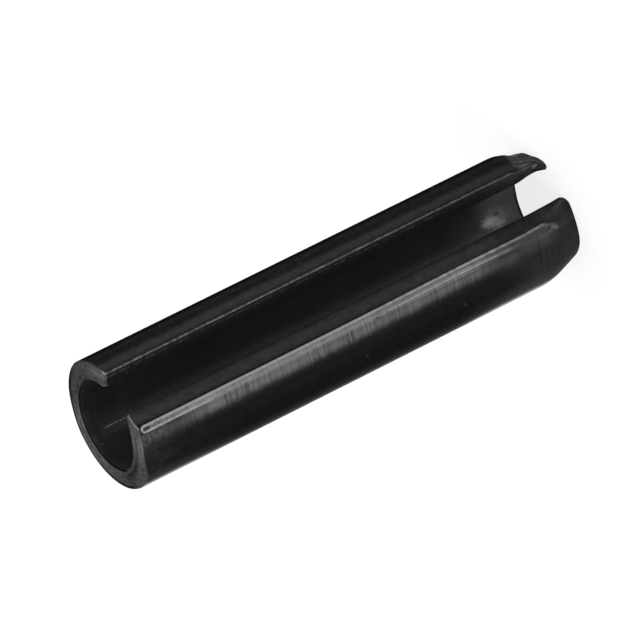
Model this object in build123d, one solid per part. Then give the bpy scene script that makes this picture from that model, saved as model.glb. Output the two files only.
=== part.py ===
"""Slotted spring pin: spring steel strip rolled into an open tube, tapered at one end.

The pin stands on its tapered nose on the plane Z = 0, with its axis on Z and its slot
to the front (-Y). The square, cut-off end is on top. Lengths are in millimetres, angles
in degrees.
"""
from build123d import *
from math import asin, cos, radians, sin, tan
import os

# Driving dimensions
LENGTH = 40.5  # over both ends
OUTER_DIAMETER = 10.5  # relaxed, so wider than the 10 mm hole it is driven into
WALL = 1.68  # thickness of the strip

SLOT_MOUTH = 4.8  # between the lips, across their outer corners
PLAIN_LIP_LEAN = 18.5  # of the +X lip's slot face, away from the way out
LANDED_LIP_LEAN = 53.0  # of the -X lip's slot face, away from the way out
LAND_WIDTH = 0.62  # narrow flat along the -X lip's outer corner
LAND_FALL = 0.08  # how far the land drops towards the slot
LIP_EDGE_RADIUS = 0.12  # on the long edges of both slot faces

LEAD_LENGTH = 3.15  # of the tapered nose, blend and cone together
LEAD_ANGLE = 17.0  # of the cone, to the pin's axis
LEAD_BLEND_RADIUS = 5.5  # where the shank turns into the cone
NOSE_CORNER_RADIUS = 0.5  # on the lips' corners at the nose
NOSE_EDGE_BREAK = 0.08  # round the nose's rim
NOSE_EDGE_SLOPE = 45.0  # of that break, to the end face

BORE_EDGE_BREAK = 0.2  # at both mouths of the bore
CUT_EDGE_BREAK = 0.45  # mean width of the bevel round the cut end
CUT_EDGE_SLOPE = 25.0  # of that bevel, to the end face
CUT_EDGE_SHIFT = 0.3  # of the bevel off the pin's axis, so its width varies
CUT_EDGE_SHIFT_ANGLE = 60.0  # to its wide side, from the slot's middle towards -X

# Derived sizes
outer_radius = OUTER_DIAMETER / 2
bore_radius = outer_radius - WALL
blend_run = LEAD_BLEND_RADIUS * sin(radians(LEAD_ANGLE))
blend_drop = LEAD_BLEND_RADIUS * (1 - cos(radians(LEAD_ANGLE)))
rim_radius = outer_radius - blend_drop - (LEAD_LENGTH - blend_run) * tan(radians(LEAD_ANGLE))
clear = OUTER_DIAMETER  # how far cutting shapes reach past the pin


def closed_tube():
    """The wall turned about the axis, with the tapered nose, before the slot opens it."""
    with BuildSketch(Plane.XZ) as wall:
        with BuildLine():
            shank = Line((outer_radius, LENGTH), (outer_radius, LEAD_LENGTH))
            blend = JernArc(shank @ 1, (0, -1), LEAD_BLEND_RADIUS, -LEAD_ANGLE)
            Polyline(
                blend @ 1,
                (rim_radius, 0),
                (bore_radius, 0),
                (bore_radius, LENGTH),
                (outer_radius, LENGTH),
            )
        make_face()
    return revolve(wall.sketch, Axis.Z)


def slot_section():
    """Cross-section of what is missing between the lips, and of the sliver above the land."""
    mouth_angle = asin(SLOT_MOUTH / 2 / outer_radius)
    land_angle = mouth_angle + LAND_WIDTH / outer_radius
    corner_depth = outer_radius * cos(mouth_angle)
    plain_corner = Vector(SLOT_MOUTH / 2, -corner_depth)
    land_inner = Vector(-SLOT_MOUTH / 2, LAND_FALL - corner_depth)
    land_outer = Vector(-outer_radius * sin(land_angle), -outer_radius * cos(land_angle))
    plain_slope = Vector(sin(radians(PLAIN_LIP_LEAN)), -cos(radians(PLAIN_LIP_LEAN)))
    landed_slope = Vector(-sin(radians(LANDED_LIP_LEAN)), -cos(radians(LANDED_LIP_LEAN)))
    # the slot faces run on inwards until they meet, inside the bore
    apart = (land_inner - plain_corner).cross(landed_slope).Z
    meeting = plain_corner + plain_slope * (apart / plain_slope.cross(landed_slope).Z)
    return Polygon(
        meeting,
        plain_corner + plain_slope * clear,
        land_outer - Vector(0, clear),
        land_outer,
        land_inner,
        align=None,
    )


def round_lips(pin):
    """Rounds the lips' corners at the nose, then the long edges of their slot faces."""
    nose_edges = pin.edges().filter_by(GeomType.LINE).group_by(Axis.Z)[0]
    pin = fillet(nose_edges, NOSE_CORNER_RADIUS)
    long_edges = pin.edges().filter_by(Axis.Z)
    on_slot = [edge for edge in long_edges if abs(edge.center().X) < SLOT_MOUTH / 2 + LIP_EDGE_RADIUS]
    return fillet(on_slot, LIP_EDGE_RADIUS)


def bore_mouth(end, inwards):
    """Cone that breaks the bore's edge at one end. inwards is the way into the pin, +1 or -1."""
    mouth_radius = bore_radius + BORE_EDGE_BREAK
    tip = end + inwards * mouth_radius
    half_section = Plane.XZ * Polygon((0, end), (mouth_radius, end), (0, tip), align=None)
    return revolve(half_section, Axis.Z)


def bevelled_end(end, inwards, face_radius, slope):
    """Round bar that flares from face_radius at one end, to bevel the pin's outer edge there.

    slope is the bevel's angle to the end face.
    """
    flare_run = (clear - face_radius) * tan(radians(slope))
    half_section = Plane.XZ * Polygon(
        (0, end),
        (face_radius, end),
        (clear, end + inwards * flare_run),
        (clear, end + inwards * (LENGTH + clear)),
        (0, end + inwards * (LENGTH + clear)),
        align=None,
    )
    return revolve(half_section, Axis.Z)


def spring_pin():
    slot = extrude(slot_section(), LENGTH, dir=(0, 0, 1))
    pin = round_lips(closed_tube() - slot)
    pin -= bore_mouth(0, 1) + bore_mouth(LENGTH, -1)
    pin &= bevelled_end(0, 1, rim_radius - NOSE_EDGE_BREAK, NOSE_EDGE_SLOPE)
    shift = radians(CUT_EDGE_SHIFT_ANGLE)
    off_centre = Pos(CUT_EDGE_SHIFT * sin(shift), CUT_EDGE_SHIFT * cos(shift), 0)
    pin &= off_centre * bevelled_end(LENGTH, -1, outer_radius - CUT_EDGE_BREAK, CUT_EDGE_SLOPE)
    return pin


os.makedirs("parts", exist_ok=True)
export_step(spring_pin(), "parts/spring_pin.step")
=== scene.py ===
from math import cos, radians, sin, tan

import bpy
import numpy as np
from mathutils import Matrix, Vector


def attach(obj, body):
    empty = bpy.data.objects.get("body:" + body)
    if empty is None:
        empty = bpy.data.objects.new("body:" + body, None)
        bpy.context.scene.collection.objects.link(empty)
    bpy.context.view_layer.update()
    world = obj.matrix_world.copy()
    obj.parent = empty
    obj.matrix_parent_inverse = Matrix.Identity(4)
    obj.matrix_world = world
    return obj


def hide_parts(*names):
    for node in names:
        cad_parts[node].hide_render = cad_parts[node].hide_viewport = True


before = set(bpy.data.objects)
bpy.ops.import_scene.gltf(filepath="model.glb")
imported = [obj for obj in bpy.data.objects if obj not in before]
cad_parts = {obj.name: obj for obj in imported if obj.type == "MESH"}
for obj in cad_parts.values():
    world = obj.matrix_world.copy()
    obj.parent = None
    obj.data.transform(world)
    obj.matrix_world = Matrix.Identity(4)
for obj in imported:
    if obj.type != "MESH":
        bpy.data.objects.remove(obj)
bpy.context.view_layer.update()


# ---------------------------------------------------------------------------------------
# The spring pin: one strip of spring steel, rolled into an open tube and hardened.
# Its section is drawn once, as a loop round the strip, and carried up from the tapered
# nose that it stands on to the cut end, with the wear and small unevenness of a used pin.
# ---------------------------------------------------------------------------------------
MM = 0.001  # the pin's sizes are in mm, and its angles run from the slot towards +X

LENGTH = 40.5
OUTER_RADIUS = 5.25
BORE_RADIUS = 3.57
WALL = OUTER_RADIUS - BORE_RADIUS

SLOT_MOUTH = 4.8
PLAIN_LIP_LEAN = 18.5
LANDED_LIP_LEAN = 56.8
LAND_WIDTH = 0.62
LAND_FALL = 0.08

LEAD_LENGTH = 3.15
LEAD_ANGLE = radians(17.0)
LEAD_BLEND_RADIUS = 5.5
NOSE_CORNER_RADIUS = 0.2
NOSE_EDGE_BREAK = 0.08
BORE_EDGE_BREAK = 0.1

blend_run = LEAD_BLEND_RADIUS * sin(LEAD_ANGLE)
blend_drop = LEAD_BLEND_RADIUS * (1 - cos(LEAD_ANGLE))
rim_radius = OUTER_RADIUS - blend_drop - (LEAD_LENGTH - blend_run) * tan(LEAD_ANGLE)


def shank_radius(z):
    """Outer radius at a height: the cone of the nose, its blend, then the straight shank."""
    if z >= LEAD_LENGTH:
        return OUTER_RADIUS
    if z > LEAD_LENGTH - blend_run:
        into = LEAD_LENGTH - z
        return OUTER_RADIUS - LEAD_BLEND_RADIUS + np.sqrt(LEAD_BLEND_RADIUS**2 - into**2)
    return rim_radius + z * tan(LEAD_ANGLE)


def nose_recess(z):
    """How far the slot faces draw back at a height, where the lips' corners are rounded."""
    if z >= NOSE_CORNER_RADIUS:
        return 0.0
    return NOSE_CORNER_RADIUS - np.sqrt(NOSE_CORNER_RADIUS**2 - (NOSE_CORNER_RADIUS - z) ** 2)


def on_circle(point, way, radius):
    """Where the line from point along way leaves the circle of that radius about the axis."""
    b = point @ way
    return point + way * (np.sqrt(b * b - point @ point + radius * radius) - b)


def bend(corner, towards, away, reach):
    """Points of a small round between two edges that meet at a corner."""
    s = np.linspace(0, 1, CORNER_STEPS + 1)[:, None]
    start, end = corner + towards * reach, corner + away * reach
    return (1 - s) ** 2 * start + 2 * s * (1 - s) * corner + s**2 * end


def crowded(s, share):
    """Even steps from 0 to 1, moved closer together at both ends."""
    return s - share * np.sin(2 * np.pi * s) / (2 * np.pi)


def arc(start, end, radius, count):
    """Points about the axis between two angles, closer together at the ends."""
    angles = start + (end - start) * crowded(np.linspace(0, 1, count), ROUND_CROWDING)
    return np.stack([np.sin(angles), np.cos(angles)], 1) * radius


def straight(start, end):
    """Points down a slot face, between its two rounds, closer together at the ends."""
    s = crowded(np.linspace(0, 1, FACE_STEPS + 1)[1:-1, None], FACE_CROWDING)
    return start * (1 - s) + end * s


def angle_of(point):
    """A section point's angle about the axis."""
    return np.arctan2(point[0], point[1]) % (2 * np.pi)


mouth_depth = np.sqrt(OUTER_RADIUS**2 - (SLOT_MOUTH / 2) ** 2)
land_angle = np.arcsin(SLOT_MOUTH / 2 / OUTER_RADIUS) + LAND_WIDTH / OUTER_RADIUS
plain_corner = np.array([SLOT_MOUTH / 2, mouth_depth])
land_inner = np.array([-SLOT_MOUTH / 2, mouth_depth - LAND_FALL])
land_outer = np.array([-np.sin(land_angle), np.cos(land_angle)]) * OUTER_RADIUS
plain_slope = np.array([sin(radians(PLAIN_LIP_LEAN)), cos(radians(PLAIN_LIP_LEAN))])
landed_slope = np.array([-sin(radians(LANDED_LIP_LEAN)), cos(radians(LANDED_LIP_LEAN))])
plain_inwards = np.array([plain_slope[1], -plain_slope[0]])
landed_inwards = np.array([-landed_slope[1], landed_slope[0]])
land_way = (land_inner - land_outer) / np.linalg.norm(land_inner - land_outer)

# points round the loop: down the outside, over the land, and on the rounds and slot faces
ROUND_COLUMNS = 212
LAND_COLUMNS = 8
CORNER_STEPS = 4
FACE_STEPS = 14
SIDE = ROUND_COLUMNS + LAND_COLUMNS
ACROSS = FACE_STEPS + 2 * CORNER_STEPS
ROUND_CROWDING, FACE_CROWDING = 0.6, 0.75  # how much closer they stand at the ends

# the rounds on the strip's long edges, and how much each varies along the pin; those at
# the bore are pressed rounder near the nose
PLAIN_TIP_ROUND, PLAIN_TIP_WEAR = 0.14, 0.03
LANDED_TIP_ROUND, LANDED_TIP_WEAR = 0.10, 0.02
LANDED_TIP_LIMIT = 0.08
ROOT_ROUND, ROOT_WEAR = 0.05, 0.02
PLAIN_ROOT_PRESSED, PLAIN_PRESSED_HEIGHT, PLAIN_PRESSED_REACH = 0.75, 0.7, 1.3
LANDED_ROOT_PRESSED, LANDED_PRESSED_REACH = 0.5, 1.1
WITHIN_STRIP = 1.2  # from a slot face's outer corner to a point well down the face
LAND_CLEARANCE = 0.03  # radians that the outside's last column keeps from the land's tip
EDGE_WAVES = (9, 1.2, 14)  # in an edge's wear: how many, the shortest and the longest

rng = np.random.RandomState(20)


def ripple(count, lowest, highest):
    """A smooth random function of height, about -1 to 1, from waves of mixed length in mm."""
    lengths = np.exp(rng.uniform(np.log(lowest), np.log(highest), count))
    phases = rng.uniform(0, 2 * np.pi, count)
    return lambda z: float(np.sum(np.cos(2 * np.pi * z / lengths + phases)) / np.sqrt(count))


plain_edge_wear, landed_edge_wear, bore_edge_wear = (ripple(*EDGE_WAVES) for _ in range(3))


def bell(distance, reach):
    """1 at no distance, falling off smoothly over that reach."""
    return np.exp(-(distance / reach) ** 2)


def along_the_bore(point, distance):
    """The way from a point on the bore to one at that distance round it."""
    turned = angle_of(point) + distance / BORE_RADIUS
    there = np.array([np.sin(turned), np.cos(turned)]) * BORE_RADIUS
    return (there - point) / np.linalg.norm(there - point)


def section(z):
    """The loop round the strip at a height, as points (x, depth towards the slot)."""
    radius, recess = shank_radius(z), nose_recess(z)
    plain_foot = plain_corner + plain_inwards * recess
    landed_foot = land_inner + landed_inwards * recess
    within_plain = plain_foot - plain_slope * WITHIN_STRIP
    within_landed = landed_foot - landed_slope * WITHIN_STRIP
    plain_tip = on_circle(within_plain, plain_slope, radius)
    plain_root = on_circle(within_plain, plain_slope, BORE_RADIUS)
    landed_root = on_circle(within_landed, landed_slope, BORE_RADIUS)

    # the land runs out where the nose grows narrower than it
    cross = land_way[0] * landed_slope[1] - land_way[1] * landed_slope[0]
    gap = landed_foot - land_outer
    along = (gap[0] * landed_slope[1] - gap[1] * landed_slope[0]) / cross
    landed_tip = land_outer + land_way * along
    if np.hypot(*landed_tip) > radius:
        landed_tip = on_circle(within_landed, landed_slope, radius)
    reach = land_outer @ land_way
    nearest = land_outer @ land_outer - reach * reach
    land_end = angle_of(landed_tip) - LAND_CLEARANCE
    if radius * radius > nearest:
        edge = land_outer + land_way * (-reach - np.sqrt(radius * radius - nearest))
        land_end = min(land_end, angle_of(edge))

    plain_round = PLAIN_TIP_ROUND + PLAIN_TIP_WEAR * plain_edge_wear(z)
    landed_round = LANDED_TIP_ROUND + LANDED_TIP_WEAR * landed_edge_wear(z)
    root_round = ROOT_ROUND + ROOT_WEAR * bore_edge_wear(z)
    near_nose = bell(z - PLAIN_PRESSED_HEIGHT, PLAIN_PRESSED_REACH)
    plain_root_round = root_round + PLAIN_ROOT_PRESSED * near_nose
    landed_root_round = root_round + LANDED_ROOT_PRESSED * bell(z, LANDED_PRESSED_REACH)

    start = angle_of(plain_tip) + plain_round / radius
    round_side = arc(start, land_end, radius, ROUND_COLUMNS)
    last = round_side[-1]
    to_land = (last - landed_tip) / np.linalg.norm(last - landed_tip)
    tip_bend = bend(landed_tip, to_land, -landed_slope, min(landed_round, LANDED_TIP_LIMIT))
    s = np.linspace(0, 1, LAND_COLUMNS + 1)[1:, None]
    land = last * (1 - s) + tip_bend[0] * s

    from_landed = along_the_bore(landed_root, -landed_root_round)
    landed_bend = bend(landed_root, landed_slope, from_landed, landed_root_round)
    from_plain = along_the_bore(plain_root, plain_root_round)
    plain_bend = bend(plain_root, from_plain, plain_slope, plain_root_round)
    inner_side = arc(angle_of(landed_bend[-1]), angle_of(plain_bend[0]), BORE_RADIUS, SIDE)
    along_outside = round_side[0] - plain_tip
    along_outside /= np.linalg.norm(along_outside)
    top_bend = bend(plain_tip, -plain_slope, along_outside, plain_round)

    return np.concatenate([
        round_side, land, tip_bend[1:], straight(tip_bend[-1], landed_bend[0]), landed_bend,
        inner_side[1:-1], plain_bend, straight(plain_bend[-1], top_bend[0]), top_bend[:-1],
    ])


def around(*stops):
    """A smooth function round the pin, through stops (degrees from the slot to +X, value)."""
    places, values = zip(*stops)
    degrees, blur = np.arange(360), range(-4, 5)
    table = np.interp(degrees, places, values, period=360)
    table = sum(np.roll(table, k) for k in blur) / len(blur)
    return lambda x, y: np.interp(np.degrees(np.arctan2(x, -y)), degrees, table, period=360)


def read_off(at, stops):
    """A value read off a table of stops (where, value)."""
    return np.interp(at, *zip(*stops))


# the sawn end: how far it stands proud, its outer edge's bevel, which wanders round it,
# the break at its bore, and what is worn off the lips' corners by distance from the axis
cut_rise = around(
    (-22, 0), (-33, 0.12), (-45, 0.24), (-60, 0.3), (-75, 0.27), (-88, 0.2), (-100, 0.06),
    (-112, 0), (150, 0),
)
bevel_width = around(
    (-27, 0.1), (-60, 0.15), (-68, 0.35), (-77, 0.6), (-88, 0.5), (-102, 0.4), (-118, 0.35),
    (-134, 0.45), (-150, 0.62), (-166, 0.64), (178, 0.64), (162, 0.68), (146, 0.82),
    (130, 0.85), (114, 0.65), (98, 0.42), (82, 0.29), (66, 0.18), (50, 0.1), (34, 0.1),
)
bevel_drop = around(
    (-27, 0.02), (-45, 0.02), (-60, 0.06), (-68, 0.17), (-77, 0.42), (-88, 0.48), (-100, 0.4),
    (-112, 0.33), (-125, 0.24), (-160, 0.2), (160, 0.19), (140, 0.24), (98, 0.21), (82, 0.15),
    (60, 0.03), (34, 0.02),
)
bore_break = around(
    (-30, 0.12), (-50, 0.2), (-64, 0.22), (-80, 0.1), (95, 0.08), (88, 0.12), (78, 0.3),
    (70, 0.27), (58, 0.22), (40, 0.14), (30, 0.1),
)
PLAIN_END_WEAR = ((3.57, 0.42), (3.93, 0.27), (4.4, 0.13), (4.7, 0.2), (5.2, 0.1))
LANDED_END_WEAR = ((3.57, 0.25), (3.76, 0.28), (4.06, 0.18), (4.53, 0.05), (5.2, 0.0))
PLAIN_WEAR_REACH, LANDED_WEAR_REACH = 0.16, 0.18
BEVEL_CREASE, BREAK_CREASE = 0.12, 0.03
SAWN_ZONE = 1.0  # below the cut end, over which its unevenness fades

# the pressed-in nose: how far its rim and wall spread outwards, and its shoulder by height,
# how far its bore closes in, and how far each lip's corner is bent, by distance from the axis
rim_spread = around(
    (-104, -0.02), (-97, 0), (-88, 0.08), (-80, 0.25), (-68, 0.43), (-59, 0.47), (-49, 0.28),
    (-39, 0.12), (-29, 0.05), (0, 0.2), (24, 0.65), (30, 0.76), (35, 0.7), (41, 0.36), (46, 0.26),
    (54, 0.36), (62, 0.39), (66, 0.33), (73, 0.2), (90, -0.03), (180, 0),
)
wall_spread = around(
    (30, 0), (55, 0.02), (70, 0.035), (100, 0.04), (130, 0), (-140, 0), (-110, -0.02),
    (-85, -0.02), (-60, 0),
)
shoulder_share = around((38, 0), (58, 1), (88, 1), (105, 0), (180, 0), (0, 0))
SHOULDER = (
    (0, -0.03), (0.45, -0.05), (0.63, -0.085), (0.79, -0.105), (0.95, -0.115), (1.1, -0.1),
    (1.25, -0.03), (1.43, 0.085), (1.75, 0.12), (1.93, 0.12), (2.1, 0.09), (2.3, 0.07),
    (2.5, 0.04), (2.7, 0.02), (3.0, 0),
)
bore_closing = around(
    (-13, 0.15), (30, 0.15), (105, 0.22), (112, 0.2), (118, 0.22), (125, 0.32), (136, 0.37),
    (155, 0.42), (180, 0.38), (-120, 0.25), (-60, 0.2),
)
PLAIN_HOOK = (
    (3.4, -0.2), (3.7, -0.1), (3.9, 0.1), (4.2, 0.5), (4.5, 0.72), (4.75, 0.8), (5.0, 0.7),
)
HOOK_REACH, HOOK_HEIGHT = 0.5, 0.45
LANDED_SWELL = ((3.3, 0.2), (3.6, 0.3), (3.9, 0.42), (4.2, 0.55), (4.45, 0.5), (4.7, 0.35))
SWELL_REACH, SWELL_HEIGHT = 0.7, 1.3
UPPER_SWELL = ((4.0, 0), (4.8, 0.12))  # of the same lip, a little further up
UPPER_REACH, UPPER_MIDDLE, UPPER_HEIGHT = 0.4, 2.9, 1.3
PRESSED_LENGTH, PLAIN_PRESSED_LENGTH = 3.2, 1.75
RIM_FADE, BORE_FADE = 2.5, 1.6  # powers, by which the pressing fades upwards
RIM_ZONE = 0.6  # above the nose's end face, over which its broken edges fade
EDGE_CREASE = 0.02


def from_slot_face(x, y, corner, slope):
    """Distance of points into the strip from the plane of a slot face, far for the other side."""
    side = 1 if corner[0] > 0 else -1
    distance = side * ((x - corner[0]) * slope[1] - (-y - corner[1]) * slope[0])
    return np.where((side * x > 0) & (y < -1), distance, OUTER_RADIUS)


def creased(value, width):
    """value where it is above 0, else 0, with the crease rounded over about that width."""
    return 0.5 * (value + np.sqrt(value * value + width * width))


def cut_height(x, y):
    """The cut end's surface: sawn uneven, bevelled outside, and worn at the lips' corners."""
    radius = np.hypot(x, y)
    outside = creased((radius - OUTER_RADIUS) / bevel_width(x, y) + 1, BEVEL_CREASE)
    broken = creased(BORE_RADIUS + bore_break(x, y) - radius, BREAK_CREASE)
    into_plain = from_slot_face(x, y, plain_corner, plain_slope)
    into_landed = from_slot_face(x, y, land_inner, landed_slope)
    plain_wear = read_off(radius, PLAIN_END_WEAR) * bell(into_plain, PLAIN_WEAR_REACH)
    landed_wear = read_off(radius, LANDED_END_WEAR) * bell(into_landed, LANDED_WEAR_REACH)
    bevel = bevel_drop(x, y) * outside
    return LENGTH + cut_rise(x, y) - bevel - broken - (plain_wear + landed_wear)


def nose_height(x, y):
    """The nose's end face, with its rim and the bore's mouth broken."""
    radius = np.hypot(x, y)
    rim = creased(radius - (rim_radius + rim_spread(x, y) - NOSE_EDGE_BREAK), EDGE_CREASE)
    mouth = BORE_RADIUS - bore_closing(x, y) + BORE_EDGE_BREAK / 2
    return rim + creased(mouth - radius, EDGE_CREASE)


def uneven(points):
    """Moves the true shape's points to where pressing, sawing and wear have left them."""
    x, y, z = points.T
    radius, turn = np.hypot(x, y), np.arctan2(x, -y)
    depth = np.clip((OUTER_RADIUS - radius) / WALL, 0, 1)
    pressed = np.clip(1 - z / PRESSED_LENGTH, 0, 1)
    plain_pressed = np.clip(1 - z / PLAIN_PRESSED_LENGTH, 0, 1)
    ridged = np.where(x > 0, plain_pressed, pressed**RIM_FADE)
    radius = radius + (1 - depth) * (wall_spread(x, y) + rim_spread(x, y) * ridged)
    radius = radius + (1 - depth) * read_off(z, SHOULDER) * shoulder_share(x, y)
    radius = radius - depth * bore_closing(x, y) * pressed**BORE_FADE

    into_plain = from_slot_face(x, y, plain_corner, plain_slope)
    into_landed = from_slot_face(x, y, land_inner, landed_slope)
    hook = read_off(radius, PLAIN_HOOK) * bell(into_plain, HOOK_REACH) * bell(z, HOOK_HEIGHT)
    swell = read_off(radius, LANDED_SWELL) * bell(into_landed, SWELL_REACH) * bell(z, SWELL_HEIGHT)
    upper = read_off(radius, UPPER_SWELL) * bell(z - UPPER_MIDDLE, UPPER_HEIGHT)
    turn = turn + (swell + upper * bell(into_landed, UPPER_REACH) - hook) / radius
    x, y = radius * np.sin(turn), -radius * np.cos(turn)

    at_top = np.clip((z - (LENGTH - SAWN_ZONE)) / SAWN_ZONE, 0, 1)
    at_foot = np.clip(1 - z / RIM_ZONE, 0, 1)
    z = z + at_top * (cut_height(x, y) - LENGTH) + at_foot * nose_height(x, y)
    return np.stack([x, y, z], 1)


CORNER_ROWS, LEAD_ROWS, SHANK_ROWS, SAWN_ROWS = 9, 22, 150, 8


def heights():
    """Row heights from nose to cut end, close together where the shape turns."""
    corner = NOSE_CORNER_RADIUS * (1 - np.cos(np.linspace(0, np.pi / 2, CORNER_ROWS)))
    lead = np.linspace(NOSE_CORNER_RADIUS, LEAD_LENGTH, LEAD_ROWS)[1:]
    shank = np.linspace(LEAD_LENGTH, LENGTH - SAWN_ZONE, SHANK_ROWS)[1:]
    end = LENGTH - SAWN_ZONE + SAWN_ZONE * np.sin(np.linspace(0, np.pi / 2, SAWN_ROWS))[1:]
    return np.concatenate([corner, lead, shank, end])


def pin_mesh():
    """The pin's skin: a loop of points at each height, and a band of quads over each end."""
    rows = heights()
    loops = [section(z) for z in rows]
    count = len(loops[0])
    points = [np.column_stack([p[:, 0], -p[:, 1], np.full(count, z)]) for p, z in zip(loops, rows)]
    faces = []
    for i in range(len(rows) - 1):
        for j in range(count):
            k = (j + 1) % count
            faces.append((i * count + j, i * count + k, (i + 1) * count + k, (i + 1) * count + j))

    def end_face(row, outer_crease, inner_crease, flip):
        """A band of quads from the outside of the loop to the bore, over one end."""
        loop, base = loops[row], row * count
        total, made = sum(len(p) for p in points), []
        grid = np.zeros((SIDE, ACROSS + 1), int)
        for j in range(SIDE):
            other = 2 * SIDE + ACROSS - 2 - j
            grid[j, 0], grid[j, ACROSS] = base + j, base + other
            if j in (0, SIDE - 1):
                steps = np.arange(1, ACROSS)
                grid[j, 1:ACROSS] = base + (-steps if j == 0 else SIDE - 1 + steps) % count
                continue
            outer, inner = loop[j], loop[other]
            first = outer_crease(outer[0], -outer[1])
            stops = np.concatenate([
                np.linspace(0, first, CORNER_STEPS + 1),
                np.linspace(first, inner_crease, FACE_STEPS + 1)[1:],
                np.linspace(inner_crease, 1, CORNER_STEPS + 1)[1:-1],
            ])[1:, None]
            grid[j, 1:ACROSS] = total + len(made) + np.arange(ACROSS - 1)
            made.extend(outer + (inner - outer) * stops)
        made = np.array(made)
        points.append(np.column_stack([made[:, 0], -made[:, 1], np.full(len(made), rows[row])]))
        for j in range(SIDE - 1):
            for k in range(ACROSS):
                quad = (grid[j, k], grid[j + 1, k], grid[j + 1, k + 1], grid[j, k + 1])
                faces.append([int(v) for v in (quad[::-1] if flip else quad)])

    at_bore = 1 - BORE_EDGE_BREAK / WALL
    end_face(len(rows) - 1, lambda x, y: bevel_width(x, y) / WALL, at_bore, False)
    end_face(0, lambda x, y: NOSE_EDGE_BREAK * 2 / WALL, at_bore, True)
    mesh = bpy.data.meshes.new("spring_pin_skin")
    mesh.from_pydata((uneven(np.concatenate(points)) * MM).tolist(), [], faces)
    mesh.validate()
    mesh.shade_smooth()
    return mesh


class Wire:
    """An output of a shader node, or at first only its tree. Arithmetic adds Math nodes."""

    def __init__(self, tree, socket=None):
        self.tree, self.socket = tree, socket

    def node(self, kind, settings=None, sockets=None, output=0):
        """A new node in this tree: its settings first, then its sockets' values or links."""
        made = self.tree.nodes.new(kind)
        for name, value in (settings or {}).items():
            setattr(made, name, value)
        for key, value in (sockets or {}).items():
            into = made.inputs[key] if isinstance(key, int) else next(
                s for s in made.inputs if s.enabled and s.name == key
            )
            if isinstance(value, Wire):
                self.tree.links.new(value.socket, into)
            else:
                into.default_value = value
        outs = [s for s in made.outputs if s.enabled] or [None]
        out = outs[output] if isinstance(output, int) else next(s for s in outs if s.name == output)
        return Wire(self.tree, out)

    def math(self, operation, *others):
        sockets = dict(enumerate((self, *others)))
        return self.node("ShaderNodeMath", {"operation": operation}, sockets)

    def __add__(self, other):
        return self.math("ADD", other)

    def __sub__(self, other):
        return self.math("SUBTRACT", other)

    def __rsub__(self, other):
        return self.node("ShaderNodeMath", {"operation": "SUBTRACT"}, {0: other, 1: self})

    def __mul__(self, other):
        return self.math("MULTIPLY", other)

    def __truediv__(self, other):
        return self.math("DIVIDE", other)

    __radd__, __rmul__ = __add__, __mul__

    def rises(self, low, high):
        """0 below low, 1 above high, and smooth between them."""
        return self.node(
            "ShaderNodeMapRange", {"interpolation_type": "SMOOTHSTEP"},
            {"Value": self, "From Min": low, "From Max": high, "To Min": 0.0, "To Max": 1.0},
        )

    def falls(self, low, high):
        """1 below low, 0 above high."""
        return 1 - self.rises(low, high)

    def between(self, start, full, fades, end):
        """1 from full to fades, and 0 before start and after end."""
        return self.rises(start, full) * self.falls(fades, end)

    def towards(self, other, share):
        """This value where share is 0, and other where it is 1."""
        return self + (other - self) * share

    def under(self, *layers):
        """This value with others laid over it in turn, each as (value, where it is)."""
        seen = self
        for value, where in layers:
            seen = seen.towards(value, where)
        return seen


blackened = bpy.data.materials.new("black_oxide_on_spring_steel")
blackened.use_nodes = True
blackened.node_tree.nodes.clear()

place = Wire(blackened.node_tree).node("ShaderNodeTexCoord", output="Object")
facing = place.node("ShaderNodeTexCoord", output="Normal")


def parts(vector):
    """The x, y and z of a vector."""
    return [
        vector.node("ShaderNodeSeparateXYZ", None, {"Vector": vector}, output=i) for i in range(3)
    ]


in_mm = place.node(
    "ShaderNodeVectorMath", {"operation": "SCALE"}, {"Vector": place, "Scale": 1 / MM}
)
x, y, z = parts(in_mm)
nx, ny, nz = parts(facing)
from_axis = (x * x + y * y).math("SQRT")
turn = x.math("ARCTAN2", y * -1.0) * (180 / np.pi)
outwards = (nx * x + ny * y) / from_axis


def grain(vector, scales, size, detail=4.0, rough=0.55):
    """Noise, 0 to 1, stretched by the three scales."""
    stretch = {0: vector, 1: scales}
    stretched = vector.node("ShaderNodeVectorMath", {"operation": "MULTIPLY"}, stretch)
    return vector.node(
        "ShaderNodeTexNoise", None,
        {"Vector": stretched, "Scale": size, "Detail": detail, "Roughness": rough},
    )


def mark(height, angle, tall, wide):
    """A soft spot on the wall at a height and an angle, with its half-sizes in mm and degrees."""
    up, aside = (z - height) * (1 / tall), (turn - angle) * (1 / wide)
    return (up * up + aside * aside).falls(0.1, 1.0)


def near_line(corner, width):
    """1 on a long line down the strip through a point of its section, fading to 0 at width."""
    dx, dy = x - corner[0], y + corner[1]
    return (dx * dx + dy * dy).math("SQRT").falls(width * 0.3, width)


# noise over the surface: even, or drawn out into marks that run round the pin, and last
# the sawing's, which is laid about the axis
mottle = grain(in_mm, (1, 1, 1), 1.1)
fine_mottle = grain(in_mm, (1, 1, 1), 5.5, 3.0)
patches = grain(in_mm, (1, 1, 0.45), 0.8, 3.0)
flecks = grain(in_mm, (1, 1, 0.8), 2.6, 4.0, 0.65)
beads = grain(in_mm, (0.3, 0.3, 1.3), 1.5, 3.0)
streaks = grain(in_mm, (0.16, 0.16, 3.0), 1.3, 5.0, 0.7)
sharp_streaks = grain(in_mm, (0.25, 0.25, 6.0), 1.3, 3.0, 0.6)
about_axis = x.node(
    "ShaderNodeCombineXYZ", None, {"X": x / from_axis, "Y": y / from_axis, "Z": from_axis}
)
face_streaks = grain(about_axis, (1.8, 1.8, 2.6), 1.0, 4.0, 0.6)

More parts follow.
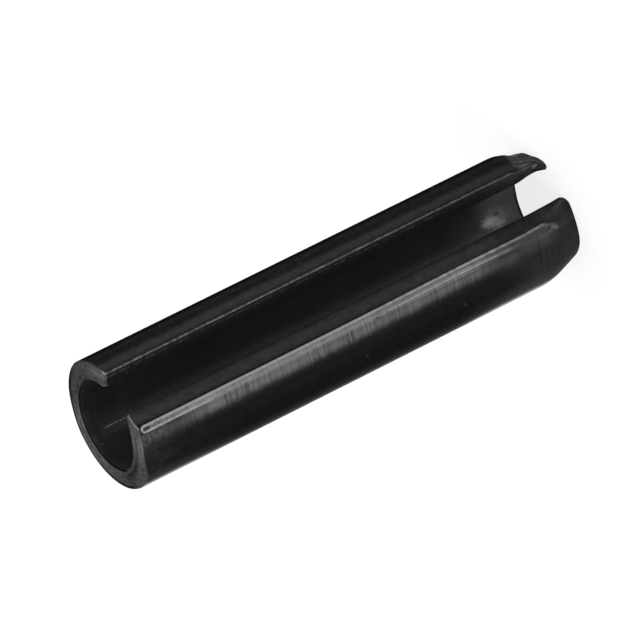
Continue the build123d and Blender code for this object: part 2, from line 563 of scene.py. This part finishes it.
# the surfaces of the strip
end_face = nz.rises(0.3, 0.5) * z.rises(38, 39)
in_bore = outwards.falls(-0.75, -0.55)
on_outside = outwards.rises(0.75, 0.88)
landed_face = outwards.between(0.28, 0.45, 0.72, 0.88) * turn.between(-35, -33, 0, 5)
plain_face = outwards.between(-0.5, -0.35, 0.1, 0.4) * turn.between(5, 10, 35, 40)
far_side = turn.rises(100, 130)

# the oxide on the plain lip's side, from the lip round to the back; the levels of this and
# every other finish are shares of white
OXIDE = 0.0070
tone = (
    mottle * 0.2 + patches * 0.15 + flecks * 0.9 + sharp_streaks * 0.5 + fine_mottle * 0.5 - 0.1
).math("MAXIMUM", 0.3)
thin_oxide = 0.0105 + flecks.rises(0.5, 0.68) * 0.005
skin = (tone * OXIDE).under(
    (tone * 0.0168, turn.between(24, 28, 35, 46)),  # rubbed beside the lip's corner, and painted highlight there
    (tone * 0.0180, mark(28.5, 39.5, 6.0, 5.0) * 0.7),  # and in one long patch
    (0.006, turn.between(28.5, 29.2, 29.8, 30.6) * 0.8),  # a fine dark line down it
    (tone * thin_oxide, turn.between(38, 46, 58, 66)),
    (tone * 0.0031, turn.between(54, 63, 80, 112)),  # painted shade, at its blackest round the plain side's outline
)
# painted shade: darker on the landed side, short of its outline
skin = skin * (1 - turn.between(-82, -74, -64, -56) * 0.25)

# the band beside the land: painted highlight over rubbed oxide, ragged, scored, combed at two
# heights
ragged = (turn + streaks * 5.0 + patches * 3.0 - z.falls(10, 18) * 0.5).rises(-43.0, -35.6)
blotched = (fine_mottle * 0.3 + mottle * 0.3 + flecks * 0.4).rises(0.40, 0.60)
band_top = z.rises(33.5, 38.5) * (1.0 - blotched * 0.18)
highlight_band = ragged * turn.falls(-31, -25) * z.rises(6.2, 11.0) * (1 - band_top)
comb_teeth = (streaks * 0.5 + sharp_streaks * 0.5).rises(0.42, 0.58)
combed = z.between(30.4, 31.0, 33.0, 33.6) + z.between(20.9, 21.4, 22.2, 22.6)
scored = sharp_streaks.rises(0.3, 0.7) * 0.6 + flecks * 0.35 + patches * 0.2
scored = scored * (1 - combed * (1 - comb_teeth) * 0.6)
band_highlight_level = 0.0235 - z.falls(14, 30) * 0.0025
# painted highlight: the band's level stands in for the side lamp's reflection
skin = skin.towards((0.38 + scored) * band_highlight_level, highlight_band)

# the dull bloom on the nose, with the rings left by its forming, and dust at the cut end
NOSE_DUST = 0.0185
FORMING_RINGS = (  # height, half its width, how plainly it shows, and its level
    (4.32, 0.07, 0.6, 0.007), (4.05, 0.10, 0.9, 0.006), (3.50, 0.07, 0.6, 0.008),
    (3.20, 0.05, 0.4, 0.009), (2.80, 0.06, 0.5, 0.008), (2.42, 0.09, 0.7, 0.007),
    (24.65, 0.09, 0.4, 0.004),
)
rubbed_low = turn.between(-56, -43, -38, -33) * z.falls(5.6, 6.8) * 0.5
dust_top = 7.2 + turn.between(-170, -130, -90, -60) * 1.5 + turn.between(-58, -50, -40, -36) * 2.0
dusty = (0.4 + mottle * 0.4 + sharp_streaks * 0.8) * (NOSE_DUST * (1 - rubbed_low))
skin = skin.towards(dusty, z.falls(3.6, dust_top) * (turn.falls(10, 20) + far_side))
ring_arc = turn.between(-74, -66, -38, -33) * (0.4 + patches)
wavering = z + mottle * 0.25 - 0.12
for height, half, share, level in FORMING_RINGS:
    ring = wavering.between(height - half, height, height, height + half)
    skin = skin.towards(level, ring * ring_arc * share)
cut_dust = z.rises(36.8, 39.5) * (0.02 + blotched * 0.38) * (turn.falls(0, 10) + far_side)
skin = skin.under((0.026, cut_dust), (0.017, turn.between(-150, -120, -84, -73) * z.rises(33, 39)))

# the plain lip's taper: rubbed, and creased aslant where it was pressed in, with painted shade and
# highlight on the creases
taper_start = 2.1 + turn.falls(24, 50) * 0.85 - turn.rises(62, 76) * 0.7
plain_nose = (z - taper_start).falls(-0.25, 0.12) * turn.between(5, 10, 85, 125)
creases = (turn - z * 5.0 + mottle * 16.0).math("SINE").rises(0.0, 0.9)
taper_tone = (fine_mottle + flecks * 0.8 + creases * 0.25 - 0.15).math("MAXIMUM", 0.2) * 0.043
taper_tone = taper_tone * (1 + turn.falls(30, 46) * 0.5) * (1 - z.rises(1.9, 2.4) * 0.7)
taper_tone = taper_tone * (1 + mark(0.95, 66, 0.85, 15) * 2.6)
slant = turn - z * 5.07 - 26.6
# painted shade down a slanting crease, and painted highlight on the ridge beside it
crease_shade = slant.between(-1.6, -0.4, 0.4, 1.6) * z.between(0.4, 0.8, 1.9, 2.2)
ridge_highlight = (slant + 4.5).between(-1.8, -0.4, 0.4, 1.8) * z.between(0.8, 1.2, 2.2, 2.6)
skin = skin.under(
    (taper_tone, plain_nose * (1 - turn.rises(80, 110) * 0.6)),
    (0.005, crease_shade * 0.8),
    (0.060, ridge_highlight * 0.6),
    (0.007, mark(1.95, 57, 0.22, 9) * 0.8),  # painted shade in a dent under the shoulder
)
# painted shade that dims the hooked tip's highlight
skin = skin * (1 - mark(0.9, 27, 0.6, 3.5) * 0.5)

# single marks (height, angle, half-height, half-width): oxide left in the band, and nicks
LEFT_OXIDE = ((19.0, -33.8, 0.3, 1.4), (8.5, -32.4, 0.25, 1.3), (8.0, -32.2, 0.2, 1.2))
NICKS = ((20.4, -63.5, 0.14, 1.4), (11.25, -61, 0.12, 2.2), (27.3, 52.7, 0.16, 1.2))
for spot in LEFT_OXIDE:
    skin = skin.towards(OXIDE * 0.5, mark(*spot) * 0.9)
for spot in NICKS:
    skin = skin.towards(0.026, mark(*spot))

# the land: rubbed bare along both its edges, with painted highlight between them and round them
LAND_ENDS = (3.0, 40.15)
LAND_MIDDLE = 30.425
HALF_LAND = 0.2175
middle = z.falls(9, 23) * 0.75 + z.falls(2.6, 5.5) * 1.1 - LAND_MIDDLE
across_land = (turn - middle) * (np.pi / 180 * OUTER_RADIUS)
past_end = (z - LAND_ENDS[1]).math("MAXIMUM", 0.0) + (LAND_ENDS[0] - z).math("MAXIMUM", 0.0)
from_middle = (across_land * across_land + past_end * past_end).math("SQRT")

edge_lines = (from_middle - HALF_LAND).math("ABSOLUTE").falls(0.035, 0.12)
slot_side = across_land.rises(-0.05, 0.05)
beaded = 0.62 + beads.rises(0.34, 0.6) * 0.38
slot_line = z.rises(18.2, 19.2) + z.falls(18.2, 19.2) * beaded
slot_line = slot_line * z.rises(2.6, 3.3) * (1 - z.falls(4.5, 10) * 0.45)
broken = z.between(5.0, 7.5, 17.4, 18.4) * beads.rises(0.25, 0.55)
round_line = (z.rises(33.6, 34.6) * 0.5 + broken * 0.3 + 0.2) * z.rises(4.6, 7.8)
bare_line = edge_lines * (slot_side * slot_line + (1 - slot_side) * round_line)
worn_thin = z.rises(33, 39) * (0.55 - fine_mottle).rises(0.0, 0.2) * 0.5 - z.rises(33, 39) * 0.25
bare_line = bare_line * (0.42 + fine_mottle * 0.5 + sharp_streaks * 0.5) * (1 - worn_thin)
bare_line = (bare_line * outwards.rises(0.2, 0.4)).math("MINIMUM", 1.0)

# painted highlight: the land between its edges, and a margin round it, lighter where the lamp's
# reflection falls short
land_inside = from_middle.falls(HALF_LAND - 0.04, HALF_LAND + 0.06) * z.rises(5.0, 9.0)
land_foot = turn.between(-34.5, -33.8, -32.5, -31.5) * z.falls(6.5, 9.5)
land_sheen = from_middle.falls(HALF_LAND + 0.01, HALF_LAND + 0.12).math("MAXIMUM", land_foot)
land_sheen_level = 0.040 + z.rises(16, 26) * 0.018 + z.rises(32, 38) * 0.037
skin = skin.under(
    ((0.4 + flecks * 0.6 + sharp_streaks * 0.6) * 0.040, land_sheen * z.rises(2.2, 3.0)),
    ((0.1 + sharp_streaks * 0.6 + flecks * 1.1) * land_sheen_level, land_inside),
    (0.012, land_inside * z.between(39.6, 39.75, 40.2, 40.35) * 0.8),  # its dark end
)
# painted highlight on the land's outer flat, where the side lamp's reflection falls short
land_skirt_highlight = turn.between(-35.3, -34.0, -30, -27) * highlight_band
skin = skin.towards(skin * (2.5 + z.falls(10, 24) * 1.1), land_skirt_highlight)

# the landed lip's slot face: sheared, so duller and greyer than the oxide outside, lighter
# towards the bore as painted light where the plain lip shades it, with a painted shadow in a
# beaded line under the land, the land's bare lines over it, and a smear at their foot
face_grain = (mottle * 0.3 + flecks * 1.3 + fine_mottle * 0.5 - 0.1).math("MAXIMUM", 0.25)
# painted light: lighter towards the bore, where the plain lip shades the face
landed_level = 0.0182 + from_axis.falls(3.6, 5.0) * 0.0200
landed_level = landed_level * (1 - z.between(2.0, 3.5, 5.5, 8.5) * 0.25) + z.falls(1.2, 3.2) * 0.002
# painted shadow of a ledge under the land
ledge_shadow = near_line(land_inner - landed_slope * 0.22, 0.17) * landed_face
ledge_shadow = ledge_shadow * (0.35 + beads.falls(0.45, 0.7) * 0.65) * z.rises(3.2, 5.0)
slanted = (turn + 30.6 - (z - 2.35) * 5.0 + (fine_mottle - 0.5) * 9.0) * (1 / 2.6)
smear = (slanted * slanted + ((z - 2.38) * (1 / 0.55)).math("POWER", 2.0)).falls(0.2, 1.0)
smear = (smear + mark(2.85, -27.6, 0.4, 1.5)).math("MINIMUM", 1.0)
value = skin.under(
    (face_grain * landed_level, landed_face),
    (0.004, ledge_shadow),
    (0.27, bare_line),
    (0.090, smear * (0.1 + fine_mottle * 1.1) * 0.75),
)

# the plain lip's slot face, its corner rubbed bright in broken lengths, and a fainter line
# down its face
RUBBED_GAPS = (  # height and half-height
    (38.95, 0.15), (36.15, 0.3), (32.65, 0.45), (29.65, 0.15), (27.8, 0.2), (24.45, 0.2),
    (18.6, 1.1),
)
outer_part = from_axis.rises(4.1, 5.1)
plain_level = 0.0165 + outer_part * 0.012 + z.falls(3.0, 7.0) * (0.010 + outer_part * 0.014)
rubbed = beads.rises(0.40, 0.58)
for height, half in RUBBED_GAPS:
    rubbed = rubbed * (1 - mark(height, 27, half, 20) * 0.8)
plain_line = near_line(plain_corner, 0.21) * z.rises(2.8, 3.3) * (1 - z.falls(14, 18) * 0.3)
face_line = near_line(plain_corner - plain_slope * 0.52, 0.15) * beads.rises(0.46, 0.58)
value = value.under(
    (face_grain * plain_level, plain_face),
    (0.068, plain_line * (0.2 + rubbed * 0.75 + fine_mottle * 0.3)),
    (0.085, face_line * z.rises(8, 10) * (0.3 + flecks)),
)

# the rounds of both lips at the nose, and its rim, darkened
plain_round = outwards.between(0.05, 0.25, 0.93, 0.99) * turn.between(12, 18, 36, 40)
plain_root = outwards.between(-0.97, -0.85, -0.45, -0.3) * turn.between(15, 20, 45, 55)
landed_round = outwards.between(-0.8, -0.6, 0.0, 0.3) * turn.between(-62, -52, 0, 8)
rim = z.falls(0.05, 0.28) * (0.8 - turn.between(12, 18, 50, 60) * 0.8)
value = value.under(
    # painted shade on the plain lip's outer round, holding back its highlight
    (0.004 + fine_mottle * 0.004, plain_round * z.falls(2.7, 3.1) * 0.7),
    (0.002, plain_root * z.falls(3, 5) * 0.8),
    (0.0035, landed_round * z.falls(3.5, 6.0) + rim),
)

# the bore: matt, with painted shade at its mouth, painted light towards the nose brightest in a
# pale cloud, and a scratch at the end
# painted light: lighter towards the nose
bore_tone = (0.8 + mottle * 0.4) * (0.042 + z.falls(20, 33) * 0.011 + z.falls(8, 18) * 0.011)
bore_tone = bore_tone * (1 - turn.falls(118, 128) * z.between(10, 15, 30, 34) * 0.25)
bore_tone = bore_tone.towards(bore_tone * 1.9, turn.between(150, 165, 172, 179) * z.falls(34, 40))
mouth_dark = 0.15 + turn.between(60, 75, 165, 178) * 0.3
mouth_shade = 1 - z.rises(37, 38) * 0.2 - z.rises(39.4, 40.1) * mouth_dark
mouth_shade = mouth_shade * (1 + turn.between(140, 155, 172, 180) * z.rises(36, 38) * 0.35)
nose_end_light = z.falls(3.5, 7.5) * (0.020 + turn.between(125, 155, 165, 170) * 0.030)
bore_tone = bore_tone * mouth_shade + nose_end_light
puff = (fine_mottle - 0.5) * 2.5 + (flecks - 0.5) * 1.5


def puffed(height, angle, tall, wide):
    """A soft spot of painted light with a cloudy edge."""
    up, aside = (z - height) * (1 / tall), (turn - angle) * (1 / wide)
    return (1 - (up * up + aside * aside).math("SQRT") + puff * 0.35).rises(0.0, 1.0)


scratch = mark(38.2, 166.2 + (fine_mottle - 0.5) * 4.0, 1.4, 1.2) * fine_mottle.rises(0.25, 0.55)
bore_tone = bore_tone.under(
    # painted light over the bore's last few mm at the nose
    ((0.6 + patches * 0.4 + mottle * 0.4) * 0.215, z.falls(2.0, 4.5)),
    (0.48, puffed(2.15, 149, 1.6, 20)),  # painted light: the cloud, with two whiter cores
    (1.0, puffed(2.75, 151.5, 0.95, 9)),
    (0.8, puffed(2.0, 157, 0.8, 8) * 0.7),
    (0.16, mark(2.0, 144.7, 0.36, 3.6) * 0.8),  # a dull spot in it
    (0.02, z.falls(0.1, 0.3)),  # the broken edge at the nose
    (0.24, scratch),
)
value = value.towards(bore_tone + mark(40.0, -177.3, 0.17, 2.3) * 0.05, in_bore)


def into_strip(corner, slope):
    """Distance into the strip from the plane of a slot face, in mm."""
    side = 1 if corner[0] > 0 else -1
    return (x - corner[0]) * (side * slope[1]) + (y + corner[1]) * (side * slope[0])


# the cut end: bare, sawn steel gone dull, brighter in rings, with dark lines left in it, its
# bevel blackened at the back, and both lips' corners rubbed
sawn = (face_streaks * 1.2 + fine_mottle * 2.2 + flecks * 1.4 - 1.4).math("MAXIMUM", 0.35)
outer_ring = from_axis.between(4.3, 4.7, 5.0, 5.2) * turn.between(25, 35, 70, 90)
outer_band = from_axis.between(4.5, 4.7, 5.0, 5.2) * turn.between(-112, -95, -36, -32)
middle_line = from_axis.between(4.1, 4.25, 4.38, 4.5) * turn.between(-85, -75, -38, -32)
middle_line = middle_line * (fine_mottle * 0.6 + flecks * 0.4).rises(0.44, 0.56)
dark_line = from_axis.between(3.85, 4.0, 4.2, 4.4) * turn.between(-122, -105, -75, -68)
dark_line = dark_line * (face_streaks * 0.6 + fine_mottle * 0.4).rises(0.42, 0.54)
mouth = nz.falls(0.80, 0.93) * from_axis.falls(3.95, 4.1) * turn.between(34, 50, 100, 110)
bevelled = nz.falls(0.955, 0.985)
landed_end = into_strip(land_inner, landed_slope).falls(0.08, 0.3) * turn.between(-42, -36, -8, 0)
face_tone = (sawn * 0.054).under(
    (sawn * 0.085, outer_ring * 0.7),
    (sawn * 0.074, outer_band),
    (0.024, middle_line * 0.8),
    (0.016, dark_line),
    (0.012, mouth),
    (0.006, bevelled * (1 - turn.between(-118, -104, 82, 100))),
    (0.030, bevelled * turn.between(-60, -50, -20, -10)),
    (0.26, landed_end * (fine_mottle * 1.2)),
    (0.17, near_line(plain_corner + plain_inwards * 0.25, 0.4)),
)
value = value.towards(face_tone, end_face)
colour = value.node("ShaderNodeCombineColor", None, {"Red": value, "Green": value, "Blue": value})

# the gloss: stretched by the drawn surface, under a film of oil on the landed lip's side,
# and matt in the bore and on the plain side
matt_side = turn.between(44, 54, 82, 112) * on_outside
metal = 0.8 - in_bore * 0.62 - matt_side * 0.78
polish = 0.436 + (fine_mottle - 0.5) * 0.06 + end_face * 0.2 + landed_face * 0.1
oily_side = turn.falls(-97, -86) * turn.rises(-125, -108)
oily_top = z.rises(30, 38.5) * (0.3 + oily_side * 0.7)
oily_nose = z.falls(6.5, 12) * (0.4 + turn.falls(-75, -66) * 0.6)
oil = (0.03 + oily_side * 0.15).towards(0.13 + oily_side * 0.87, oily_top + oily_nose)
oil = oil * (turn.falls(-62, -50) + far_side) * on_outside

relief = streaks * 0.014 + fine_mottle * 0.006
relief = relief + end_face * (face_streaks * 0.03 + fine_mottle * 0.02)
relief = relief + plain_nose * on_outside * (creases * 0.014 + fine_mottle * 0.02)
bump = relief.node(
    "ShaderNodeBump", None, {"Height": relief, "Strength": 1.0, "Distance": MM}, output="Normal"
)
steel = colour.node("ShaderNodeBsdfPrincipled", None, {
    "Base Color": colour, "Roughness": polish, "Metallic": metal,
    "Specular IOR Level": 0.0, "Specular Tint": (0.45, 0.45, 0.45, 1.0),
    "Anisotropic": 0.86, "Anisotropic Rotation": 0.25, "Normal": bump,
    "Coat Weight": oil, "Coat Roughness": 0.3,
})
steel.node("ShaderNodeOutputMaterial", None, {"Surface": steel})

pin = bpy.data.objects.new("spring_pin_skin", pin_mesh())
bpy.context.scene.collection.objects.link(pin)
pin.data.materials.append(blackened)
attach(pin, "root")
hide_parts("spring_pin")


# ---------------------------------------------------------------------------------------
# The floor: a plain white sheet under the pin, which shows as white and keeps the shadow.
# ---------------------------------------------------------------------------------------
HALF_FLOOR = 3.0
WHITE_SHARE = 0.8


def seen_directly(tree):
    """1 for rays from the camera, or by way of gloss or glass."""
    kinds = ("Is Camera Ray", "Is Glossy Ray", "Is Transmission Ray")
    rays = [Wire(tree).node("ShaderNodeLightPath", output=kind) for kind in kinds]
    return (rays[0] + rays[1] + rays[2]).math("MINIMUM", 1.0)


corners = [(a * HALF_FLOOR, b * HALF_FLOOR, 0) for a, b in ((-1, -1), (1, -1), (1, 1), (-1, 1))]
floor_mesh = bpy.data.meshes.new("floor")
floor_mesh.from_pydata(corners, [], [(0, 1, 2, 3)])
floor = bpy.data.objects.new("floor", floor_mesh)
bpy.context.scene.collection.objects.link(floor)

paper = bpy.data.materials.new("white_paper")
paper.use_nodes = True
paper.node_tree.nodes.clear()
directly = seen_directly(paper.node_tree)
matte = directly.node("ShaderNodeBsdfDiffuse", None, {"Color": (0.9, 0.9, 0.9, 1)})
shown = directly.node("ShaderNodeEmission", None, {"Color": (1, 1, 1, 1), "Strength": 1.0})
sheet = directly.node("ShaderNodeMixShader", None, {0: directly * WHITE_SHARE, 1: matte, 2: shown})
sheet.node("ShaderNodeOutputMaterial", None, {"Surface": sheet})
floor_mesh.materials.append(paper)


# ---------------------------------------------------------------------------------------
# The light: an even pale surround, a soft sun overhead, and low soft boxes to the sides.
# ---------------------------------------------------------------------------------------
SURROUND_GLOW = 0.35
CAMERA_TURN = radians(14.305)
BOX_ELEVATION = radians(6)
BOX_DISTANCE = 0.4
BOX_HEIGHT = 0.08
SUN_STRENGTH, SUN_SPREAD = 2.6, radians(70)
SUN_TILT = (radians(-12), radians(8), 0)

surround = bpy.data.worlds.new("surround")
bpy.context.scene.world = surround
surround.use_nodes = True
surround.node_tree.nodes.clear()
directly = seen_directly(surround.node_tree)
strength = SURROUND_GLOW + directly * (1 - SURROUND_GLOW)
glow = directly.node("ShaderNodeBackground", None, {"Color": (1, 1, 1, 1), "Strength": strength})
glow.node("ShaderNodeOutputWorld", None, {"Surface": glow})

middle_of_pin = Vector((0, 0, 0.02))
towards_camera = Vector((-sin(CAMERA_TURN), -cos(CAMERA_TURN), 0))
landed_side = Vector((-cos(CAMERA_TURN), sin(CAMERA_TURN), 0))


def soft_box(name, azimuth, width, brightness):
    """An area lamp beside the pin: azimuth from the camera towards the landed lip's side."""
    level = towards_camera * cos(radians(azimuth)) + landed_side * sin(radians(azimuth))
    away = level * cos(BOX_ELEVATION) + Vector((0, 0, sin(BOX_ELEVATION)))
    lamp = bpy.data.lights.new(name, "AREA")
    lamp.shape, lamp.size, lamp.size_y = "RECTANGLE", width, BOX_HEIGHT
    lamp.energy = brightness * BOX_DISTANCE**2 * np.pi
    box = bpy.data.objects.new(name, lamp)
    box.location = away * BOX_DISTANCE + middle_of_pin
    box.rotation_euler = (away * BOX_DISTANCE).to_track_quat("Z", "Y").to_euler()
    box.visible_camera = False
    bpy.context.scene.collection.objects.link(box)


soft_box("landed_side_light", 45.5, 0.10, 5.2)
soft_box("plain_side_light", -93, 0.09, 1.15)

sun_lamp = bpy.data.lights.new("overhead", "SUN")
sun_lamp.energy, sun_lamp.angle = SUN_STRENGTH, SUN_SPREAD
sun = bpy.data.objects.new("overhead", sun_lamp)
sun.rotation_euler = SUN_TILT
bpy.context.scene.collection.objects.link(sun)


# ---------------------------------------------------------------------------------------
# The camera: a long lens, looking down on the cut end and along the slot, turned about
# its line of sight so that the pin lies across the view.
# ---------------------------------------------------------------------------------------
LENS = 451.70
CAMERA_SPOT = (-0.133956, -0.525340, 0.282726)
CAMERA_DIP = radians(25.7728)
CAMERA_ROLL = radians(116.4807)

back = Vector((
    -sin(CAMERA_TURN) * cos(CAMERA_DIP), -cos(CAMERA_TURN) * cos(CAMERA_DIP), sin(CAMERA_DIP)
))
level_right = Vector((0, 0, 1)).cross(back).normalized()
level_up = back.cross(level_right)
right = level_right * cos(CAMERA_ROLL) - level_up * sin(CAMERA_ROLL)
up = level_right * sin(CAMERA_ROLL) + level_up * cos(CAMERA_ROLL)
lens = bpy.data.cameras.new("camera")
lens.sensor_width, lens.lens = 36.0, LENS
lens.clip_start, lens.clip_end = 0.01, 50.0
camera = bpy.data.objects.new("camera", lens)
turned = Matrix((right, up, back)).transposed().to_4x4()
camera.matrix_world = Matrix.Translation(CAMERA_SPOT) @ turned
bpy.context.scene.collection.objects.link(camera)
bpy.context.scene.camera = camera

bpy.context.scene.view_settings.view_transform = "Standard"
